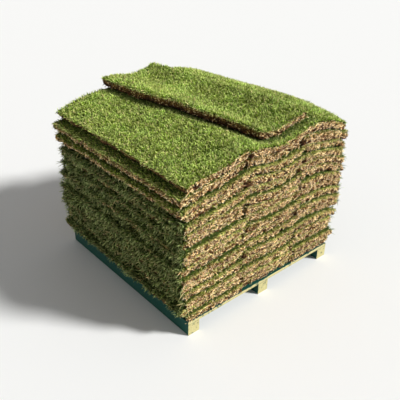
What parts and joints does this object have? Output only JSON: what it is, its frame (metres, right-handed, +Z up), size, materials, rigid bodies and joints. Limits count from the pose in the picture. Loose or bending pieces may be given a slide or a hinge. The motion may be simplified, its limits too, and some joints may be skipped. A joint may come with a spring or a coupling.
{
  "type": "pallet of turf slabs",
  "caption": "Loaded pallet of cut natural turf: long slabs of soil, roots and grass stacked flat in courses on a timber pallet, with one loose slab on top.",
  "frame": {"origin": "on the ground, under the middle runner of the pallet", "axes": "+Z up, the slabs and the runners lie along Y, the deck boards along X"},
  "size_m": [1.312, 1.3209, 1.0968],
  "materials": {
    "turf": "matte, fibrous",
    "grass": "satin leaf blades",
    "dry_grass": "matte straw",
    "soil": "rough, crumbly",
    "painted_timber": "worn paint",
    "bare_timber": "sawn, weathered",
    "nail_steel": "dull"
  },
  "bodies": {
    "root": {"turf_layer_01": "turf", "turf_layer_02": "turf", "turf_layer_03": "turf", "turf_layer_04": "turf", "turf_layer_05": "turf", "turf_layer_06": "turf", "turf_layer_07": "turf", "turf_layer_08": "turf", "turf_layer_09": "turf", "turf_layer_10": "turf", "turf_layer_11": "turf", "turf_layer_12": "turf", "turf_layer_13": "turf", "turf_layer_14": "turf", "turf_layer_15": "turf", "turf_layer_16": "turf", "top_slab": "turf", "stringer_left": "painted_timber", "stringer_middle": "painted_timber", "stringer_right": "painted_timber", "deck_board_1": "painted_timber", "deck_board_2": "painted_timber", "deck_board_3": "painted_timber", "deck_board_4": "painted_timber", "deck_board_5": "painted_timber", "deck_board_6": "painted_timber", "deck_board_7": "painted_timber"}
  },
  "joints": []
}
